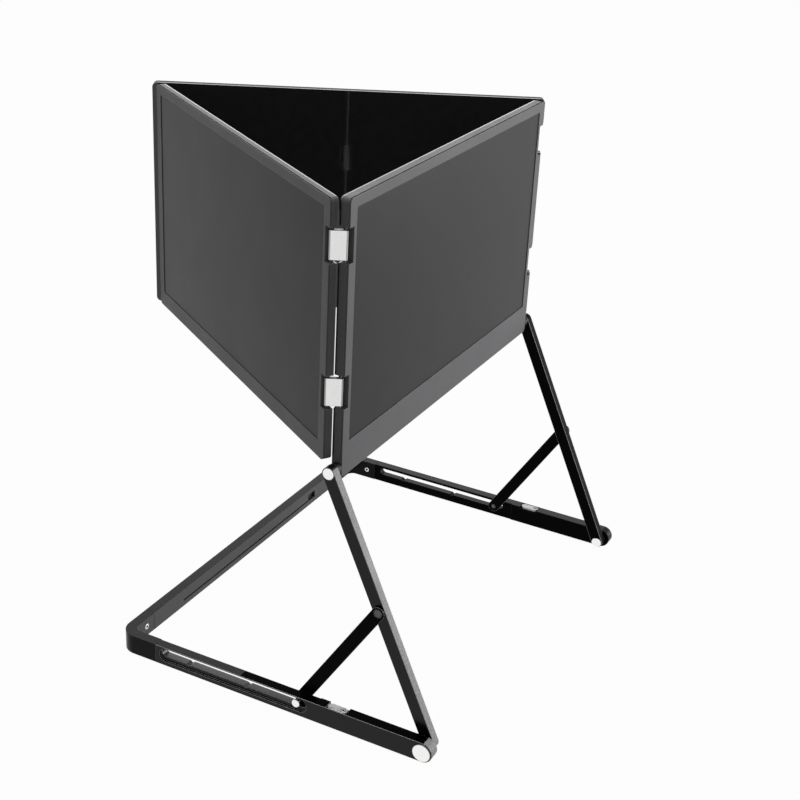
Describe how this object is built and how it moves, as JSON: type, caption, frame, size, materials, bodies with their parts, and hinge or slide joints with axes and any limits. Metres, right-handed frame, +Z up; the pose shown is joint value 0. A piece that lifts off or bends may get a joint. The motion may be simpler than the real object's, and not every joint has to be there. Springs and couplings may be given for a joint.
{
  "type": "laptop screen extender",
  "caption": "Triple-screen laptop extender: thin displays hinged in a chain, folded back into a closed upright triangle on a folding height-adjustable metal stand.",
  "frame": {"origin": "on the table, under the middle of the crossbar along the back of the stand", "axes": "+X along the centre screen from its near end (the side of the left screen) to its far end, +Y from the centre screen's display to the back, +Z up"},
  "size_m": [0.419, 0.4334, 0.4557],
  "materials": {
    "frame_metal": "dark grey satin anodised",
    "display_glass": "anti-glare, switched off",
    "backlight_sheet": "white diffuser stack",
    "cover_gloss": "near-black gloss",
    "circuit_board": "green solder mask",
    "pin_steel": "turned",
    "bright_metal": "bright satin plated",
    "stand_black": "black powder coat",
    "strut_black": "black powder coat",
    "corner_gloss": "moulded, gloss",
    "bush_black": "black acetal",
    "pad_rubber": "matt"
  },
  "bodies": {
    "base": {"crossbar": "stand_black", "corner_near": "corner_gloss", "corner_far": "corner_gloss", "corner_screws": "pin_steel", "rail_near": "stand_black", "rail_far": "stand_black", "foot_pin_near": "bright_metal", "foot_pin_far": "bright_metal", "foot_spacer_near": "bush_black", "foot_spacer_far": "bush_black", "grip_strip": "pad_rubber", "pad_near": "pad_rubber", "pad_far": "pad_rubber", "latch_screws": "pin_steel"},
    "near_latch": {"latch_near": "bright_metal"},
    "far_latch": {"latch_far": "bright_metal"},
    "struts": {"strut_near": "strut_black", "strut_far": "strut_black", "middle_rivet_near": "pin_steel", "middle_rivet_far": "pin_steel", "axle_caps": "bright_metal", "tilt_axle": "pin_steel"},
    "braces": {"brace_near": "stand_black", "brace_far": "stand_black", "slider_pin_near": "pin_steel", "slider_pin_far": "pin_steel"},
    "tilt_head": {"friction_tube": "pin_steel", "friction_hub_near": "bush_black", "friction_hub_far": "bush_black"},
    "left_link": {"left_link_lower": "bright_metal", "left_link_upper": "bright_metal"},
    "right_link": {"right_link_lower": "bright_metal", "right_link_upper": "bright_metal"},
    "centre_screen": {"centre_frame": "frame_metal", "centre_display": "display_glass", "centre_backlight": "backlight_sheet", "centre_rear_cover": "cover_gloss", "centre_board": "circuit_board", "centre_hinge_pins": "pin_steel"},
    "left_screen": {"left_frame": "frame_metal", "left_display": "display_glass", "left_backlight": "backlight_sheet", "left_rear_cover": "cover_gloss", "left_board": "circuit_board", "left_hinge_pins": "pin_steel"},
    "right_screen": {"right_frame": "frame_metal", "right_display": "display_glass", "right_backlight": "backlight_sheet", "right_rear_cover": "cover_gloss", "right_board": "circuit_board", "right_hinge_pins": "pin_steel"}
  },
  "joints": [
    {"name": "lift", "type": "hinge", "parent": "base", "child": "struts", "pos_m": [0, -0.3019, 0.0098], "axis": [1, 0, 0], "range_deg": [-64, 0]},
    {"name": "brace_swing", "type": "hinge", "parent": "struts", "child": "braces", "pos_m": [0, -0.2505, 0.12105], "axis": [-1, 0, 0], "range_deg": [-121.26, 0]},
    {"name": "level", "type": "hinge", "parent": "struts", "child": "tilt_head", "pos_m": [0, -0.19909, 0.2323], "axis": [1, 0, 0], "range_deg": [0, 64]},
    {"name": "tilt", "type": "hinge", "parent": "tilt_head", "child": "centre_screen", "pos_m": [0, -0.19909, 0.2323], "axis": [-1, 0, 0], "range_deg": [-20, 30]},
    {"name": "left_fold", "type": "hinge", "parent": "centre_screen", "child": "left_link", "pos_m": [-0.1805, -0.19909, 0.23915], "axis": [0, 0, 1], "range_deg": [0, 149.85]},
    {"name": "left_turn", "type": "hinge", "parent": "left_link", "child": "left_screen", "pos_m": [-0.18545, -0.18983, 0.23915], "axis": [0, 0, 1], "range_deg": [0, 149.95]},
    {"name": "right_fold", "type": "hinge", "parent": "centre_screen", "child": "right_link", "pos_m": [0.1805, -0.19909, 0.23915], "axis": [0, 0, -1], "range_deg": [0, 26.1]},
    {"name": "right_turn", "type": "hinge", "parent": "right_link", "child": "right_screen", "pos_m": [0.19065, -0.1964, 0.23915], "axis": [0, 0, -1], "range_deg": [0, 182.78]},
    {"name": "latch_near_swing", "type": "hinge", "parent": "base", "child": "near_latch", "pos_m": [-0.2036, -0.2251, 0.0191], "axis": [0, 0, -1], "range_deg": [0, 90]},
    {"name": "latch_far_swing", "type": "hinge", "parent": "base", "child": "far_latch", "pos_m": [0.2036, -0.2251, 0.0191], "axis": [0, 0, 1], "range_deg": [0, 90]}
  ],
  "couplings": [
    {"joint": "brace_swing", "follows": "lift", "ratio": 1.8931},
    {"joint": "level", "follows": "lift", "ratio": -1},
    {"joint": "left_turn", "follows": "left_fold", "ratio": 1},
    {"joint": "right_turn", "follows": "right_fold", "ratio": 7}
  ]
}
